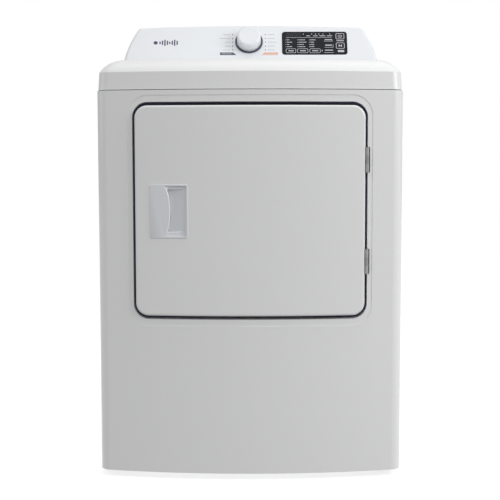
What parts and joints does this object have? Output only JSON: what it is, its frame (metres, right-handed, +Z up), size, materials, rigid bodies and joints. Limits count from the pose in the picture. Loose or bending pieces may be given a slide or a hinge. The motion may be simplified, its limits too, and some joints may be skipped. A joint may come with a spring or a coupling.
{
  "type": "clothes dryer",
  "caption": "Full-size front-loading vented clothes dryer with a bowed white front, a hinged door with a left-hand pull, a rear console with a dial and a touch panel, and a drum drive inside.",
  "frame": {"origin": "on the floor, under the middle of the overall box", "axes": "+Z up, -Y the front with the door, +X the hinge side"},
  "size_m": [0.686, 0.7, 1.08],
  "materials": {
    "white_enamel": "gloss white baked enamel",
    "white_plastic": "moulded, satin white",
    "grey_plastic": "moulded, matt",
    "navy_trim": "dark navy moulding",
    "slate_ring": "dark slate, satin",
    "display_glass": "gloss black",
    "seal_rubber": "dark rubber",
    "galvanised": "galvanised sheet",
    "bright_steel": "plated steel",
    "aluminium_pipe": "rolled aluminised pipe",
    "motor_paint": "dark grey paint",
    "belt_rubber": "ribbed black rubber",
    "felt_grey": "pressed wool felt",
    "mesh_white": "fine woven mesh",
    "heater_wire": "resistance wire",
    "board_green": "circuit board",
    "terminal_black": "phenolic moulding",
    "lamp_lens": "clear pressed glass",
    "foot_rubber": "dark grey rubber"
  },
  "bodies": {
    "cabinet": {"base_pan": "galvanised", "left_side_panel": "white_enamel", "right_side_panel": "white_enamel", "front_panel": "white_enamel", "rear_panel": "galvanised", "top_cover": "white_enamel", "top_brace": "galvanised", "console_fascia": "white_plastic", "console_back_panel": "galvanised", "display_panel": "display_glass", "control_board": "board_green", "selector_ring": "slate_ring", "door_surround": "navy_trim", "front_bulkhead": "white_enamel", "rear_bulkhead": "galvanised", "drum_lamp": "lamp_lens", "drum_felts": "felt_grey", "moisture_bars": "bright_steel", "roller_axles": "bright_steel", "motor_stator": "motor_paint", "motor_mount": "galvanised", "blower_housing": "grey_plastic", "exhaust_duct": "aluminium_pipe", "drive_belt": "belt_rubber", "lint_duct": "grey_plastic", "heater_duct": "galvanised", "heater_element": "heater_wire", "thermostats": "bright_steel", "terminal_block": "terminal_black", "terminal_cover": "galvanised", "cord_clamp": "galvanised", "cabinet_screws": "bright_steel", "cabinet_hinge_leaves": "bright_steel", "door_catch": "grey_plastic", "door_switch": "grey_plastic"},
    "door": {"door_outer_panel": "white_enamel", "door_liner": "white_plastic", "door_gasket": "seal_rubber", "door_handle": "white_plastic", "door_strike": "bright_steel", "door_screws": "bright_steel", "door_hinge_leaves": "bright_steel", "hinge_pins": "bright_steel"},
    "drum": {"drum_shell": "bright_steel", "drum_baffles": "white_plastic"},
    "motor_rotor": {"motor_shaft": "bright_steel", "blower_wheel": "grey_plastic"},
    "idler_arm": {"idler_arm": "galvanised"},
    "idler_pulley": {"idler_pulley": "grey_plastic"},
    "left_roller": {"left_roller": "seal_rubber"},
    "right_roller": {"right_roller": "seal_rubber"},
    "selector": {"selector_knob": "white_plastic", "knob_shaft": "bright_steel"},
    "lint_filter": {"lint_filter_frame": "white_plastic", "lint_screen": "mesh_white"},
    "switch_plunger": {"switch_plunger": "grey_plastic"},
    "front_left_foot": {"front_left_foot": "foot_rubber"},
    "front_right_foot": {"front_right_foot": "foot_rubber"},
    "rear_left_foot": {"rear_left_foot": "foot_rubber"},
    "rear_right_foot": {"rear_right_foot": "foot_rubber"}
  },
  "joints": [
    {"name": "door_hinge", "type": "hinge", "parent": "cabinet", "child": "door", "pos_m": [0.26, -0.32548, 0.6074], "axis": [0, 0, 1], "range_deg": [0, 160]},
    {"name": "drum_spin", "type": "hinge", "parent": "cabinet", "child": "drum", "pos_m": [0, 0, 0.5954], "axis": [0, 1, 0], "continuous": true},
    {"name": "motor_spin", "type": "hinge", "parent": "cabinet", "child": "motor_rotor", "pos_m": [0.06, 0.02354, 0.135], "axis": [0, 1, 0], "continuous": true},
    {"name": "idler_arm_pivot", "type": "hinge", "parent": "cabinet", "child": "idler_arm", "pos_m": [0.02, 0.04054, 0.075], "axis": [0, 1, 0], "range_deg": [0, 12], "stiffness_Nm_per_rad": 3, "springref_deg": -17.19},
    {"name": "idler_spin", "type": "hinge", "parent": "idler_arm", "child": "idler_pulley", "pos_m": [-0.02, 0.02354, 0.17], "axis": [0, 1, 0], "continuous": true},
    {"name": "left_roller_spin", "type": "hinge", "parent": "cabinet", "child": "left_roller", "pos_m": [-0.16305, 0.251, 0.28875], "axis": [0, 1, 0], "continuous": true},
    {"name": "right_roller_spin", "type": "hinge", "parent": "cabinet", "child": "right_roller", "pos_m": [0.16305, 0.251, 0.28875], "axis": [0, 1, 0], "continuous": true},
    {"name": "selector_turn", "type": "hinge", "parent": "cabinet", "child": "selector", "pos_m": [-0.004, 0.19052, 1.035], "axis": [0, -0.866, 0.5], "continuous": true},
    {"name": "lint_filter_slide", "type": "slide", "parent": "cabinet", "child": "lint_filter", "axis": [0, 0, 1], "range_m": [0, 0.25]},
    {"name": "switch_plunger_press", "type": "slide", "parent": "cabinet", "child": "switch_plunger", "axis": [0, 1, 0], "range_m": [0, 0.002], "stiffness_N_per_m": 200, "springref_m": -0.004},
    {"name": "front_left_foot_screw", "type": "slide", "parent": "cabinet", "child": "front_left_foot", "axis": [0, 0, -1], "range_m": [0, 0.02]},
    {"name": "front_right_foot_screw", "type": "slide", "parent": "cabinet", "child": "front_right_foot", "axis": [0, 0, -1], "range_m": [0, 0.02]},
    {"name": "rear_left_foot_screw", "type": "slide", "parent": "cabinet", "child": "rear_left_foot", "axis": [0, 0, -1], "range_m": [0, 0.02]},
    {"name": "rear_right_foot_screw", "type": "slide", "parent": "cabinet", "child": "rear_right_foot", "axis": [0, 0, -1], "range_m": [0, 0.02]}
  ],
  "couplings": [
    {"joint": "motor_spin", "follows": "drum_spin", "ratio": 26},
    {"joint": "idler_spin", "follows": "drum_spin", "ratio": 10.4},
    {"joint": "left_roller_spin", "follows": "drum_spin", "ratio": -8.9143},
    {"joint": "right_roller_spin", "follows": "drum_spin", "ratio": -8.9143}
  ]
}
